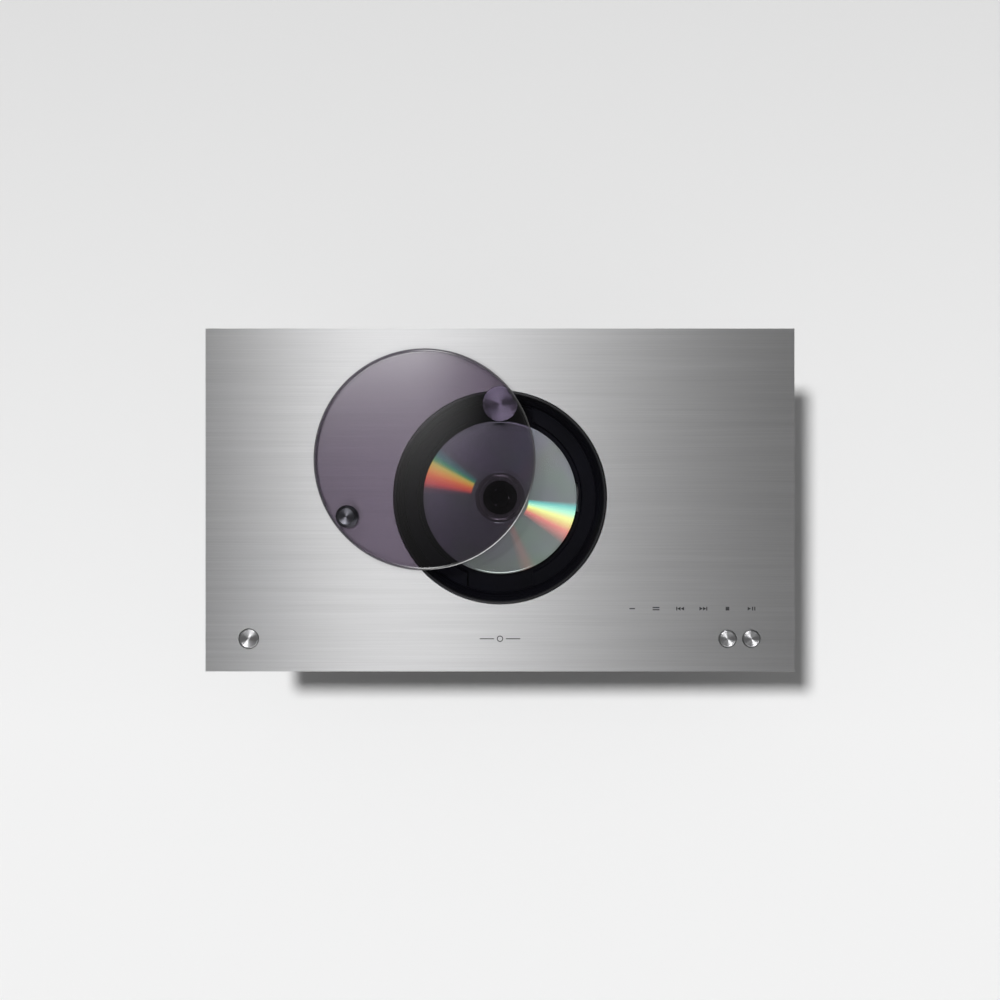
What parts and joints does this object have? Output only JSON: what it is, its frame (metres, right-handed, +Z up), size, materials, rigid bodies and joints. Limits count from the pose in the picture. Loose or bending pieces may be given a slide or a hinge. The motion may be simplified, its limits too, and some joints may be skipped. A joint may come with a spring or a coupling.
{
  "type": "top-loading disc player",
  "caption": "Low one-box music system with a brushed metal top plate, a top-loading disc well under a swivelling smoked round lid, round buttons and a wrapped front grille.",
  "frame": {"origin": "on the surface it stands on, under the middle of the body", "axes": "+X to the listener's right along the long side, +Y to the rear, +Z up"},
  "size_m": [0.45, 0.262, 0.143],
  "materials": {
    "deck_aluminium": "brushed along its length",
    "button_aluminium": "spun face",
    "pivot_metal": "spun face",
    "dark_aluminium": "dark anodised",
    "smoked_acrylic": "polished, see-through smoke tint",
    "well_plastic": "moulded, fine satin",
    "trim_plastic": "moulded gloss",
    "disc_polycarbonate": "mirror layer under clear polycarbonate",
    "plain_steel": "zinc plated",
    "rod_steel": "ground",
    "driver_steel": "black painted basket",
    "black_rubber": "moulded matte",
    "cone_paper": "pressed fibre",
    "inner_plastic": "moulded",
    "baffle_board": "fibreboard, painted black",
    "shell_paint": "satin silver-grey paint",
    "grille_paint": "satin, perforated in the visual model",
    "window_acrylic": "polished black",
    "circuit_board": "solder mask",
    "copper_winding": "wound copper"
  },
  "bodies": {
    "cabinet": {"top_plate": "deck_aluminium", "touch_board": "circuit_board", "control_board_left": "circuit_board", "control_board_right": "circuit_board", "disc_well": "well_plastic", "well_trim_ring": "trim_plastic", "pivot_sleeve": "well_plastic", "spindle_motor": "plain_steel", "drive_chassis": "plain_steel", "guide_rod_front": "rod_steel", "guide_rod_rear": "rod_steel", "sled_motor": "plain_steel", "damper_left": "black_rubber", "damper_right_front": "black_rubber", "damper_right_rear": "black_rubber", "front_baffle": "baffle_board", "woofer_left_frame": "driver_steel", "woofer_right_frame": "driver_steel", "subwoofer_frame": "driver_steel", "woofer_left_surround": "black_rubber", "woofer_right_surround": "black_rubber", "subwoofer_surround": "black_rubber", "tweeter_left": "inner_plastic", "tweeter_right": "inner_plastic", "port_tube_left": "inner_plastic", "port_tube_right": "inner_plastic", "bottom_panel": "shell_paint", "cabinet_shell": "shell_paint", "front_grille": "grille_paint", "display_window": "window_acrylic", "display_module": "circuit_board", "base_plinth": "shell_paint", "foot_front_left": "black_rubber", "foot_front_right": "black_rubber", "foot_rear_left": "black_rubber", "foot_rear_right": "black_rubber", "rear_jack_panel": "inner_plastic", "mains_inlet": "inner_plastic", "network_port": "plain_steel", "usb_port": "plain_steel", "optical_input": "inner_plastic", "aux_jack": "inner_plastic", "antenna_terminal": "inner_plastic", "main_board": "circuit_board", "power_supply_board": "circuit_board", "power_transformer": "copper_winding", "heat_sink": "dark_aluminium"},
    "lid": {"disc_lid": "smoked_acrylic", "finger_knob": "dark_aluminium", "lid_pivot_shaft": "pivot_metal"},
    "power_key": {"power_button": "button_aluminium"},
    "volume_down_key": {"volume_down_button": "button_aluminium"},
    "volume_up_key": {"volume_up_button": "button_aluminium"},
    "turntable": {"turntable_hub": "well_plastic"},
    "disc": {"compact_disc": "disc_polycarbonate"},
    "sled": {"pickup_sled": "inner_plastic"},
    "screw": {"lead_screw": "rod_steel"},
    "woofer_left_voice": {"woofer_left_cone": "cone_paper"},
    "woofer_right_voice": {"woofer_right_cone": "cone_paper"},
    "subwoofer_voice": {"subwoofer_cone": "cone_paper"}
  },
  "joints": [
    {"name": "lid_swing", "type": "hinge", "parent": "cabinet", "child": "lid", "pos_m": [0, 0.0735, 0.135], "axis": [0, 0, 1], "range_deg": [-96.5, 53.5]},
    {"name": "power_press", "type": "slide", "parent": "cabinet", "child": "power_key", "axis": [0, 0, -1], "range_m": [0, 0.001], "stiffness_N_per_m": 600, "springref_m": -0.0015},
    {"name": "volume_down_press", "type": "slide", "parent": "cabinet", "child": "volume_down_key", "axis": [0, 0, -1], "range_m": [0, 0.001], "stiffness_N_per_m": 600, "springref_m": -0.0015},
    {"name": "volume_up_press", "type": "slide", "parent": "cabinet", "child": "volume_up_key", "axis": [0, 0, -1], "range_m": [0, 0.001], "stiffness_N_per_m": 600, "springref_m": -0.0015},
    {"name": "disc_spin", "type": "hinge", "parent": "cabinet", "child": "turntable", "pos_m": [0, 0.002, 0.11], "axis": [0, 0, 1], "continuous": true},
    {"name": "disc_lift", "type": "slide", "parent": "turntable", "child": "disc", "axis": [0, 0, 1], "range_m": [0, 0.012]},
    {"name": "sled_travel", "type": "slide", "parent": "cabinet", "child": "sled", "axis": [1, 0, 0], "range_m": [0, 0.034]},
    {"name": "screw_turn", "type": "hinge", "parent": "cabinet", "child": "screw", "pos_m": [0.03, -0.029, 0.097], "axis": [1, 0, 0], "range_deg": [0, 4081]},
    {"name": "woofer_left_excursion", "type": "slide", "parent": "cabinet", "child": "woofer_left_voice", "axis": [0, -1, 0], "range_m": [-0.002, 0.002], "stiffness_N_per_m": 1500},
    {"name": "woofer_right_excursion", "type": "slide", "parent": "cabinet", "child": "woofer_right_voice", "axis": [0, -1, 0], "range_m": [-0.002, 0.002], "stiffness_N_per_m": 1500},
    {"name": "subwoofer_excursion", "type": "slide", "parent": "cabinet", "child": "subwoofer_voice", "axis": [0, 0, -1], "range_m": [-0.002, 0.002], "stiffness_N_per_m": 3000}
  ],
  "couplings": [
    {"joint": "screw_turn", "follows": "sled_travel", "rad_per_m": 2094.4}
  ]
}
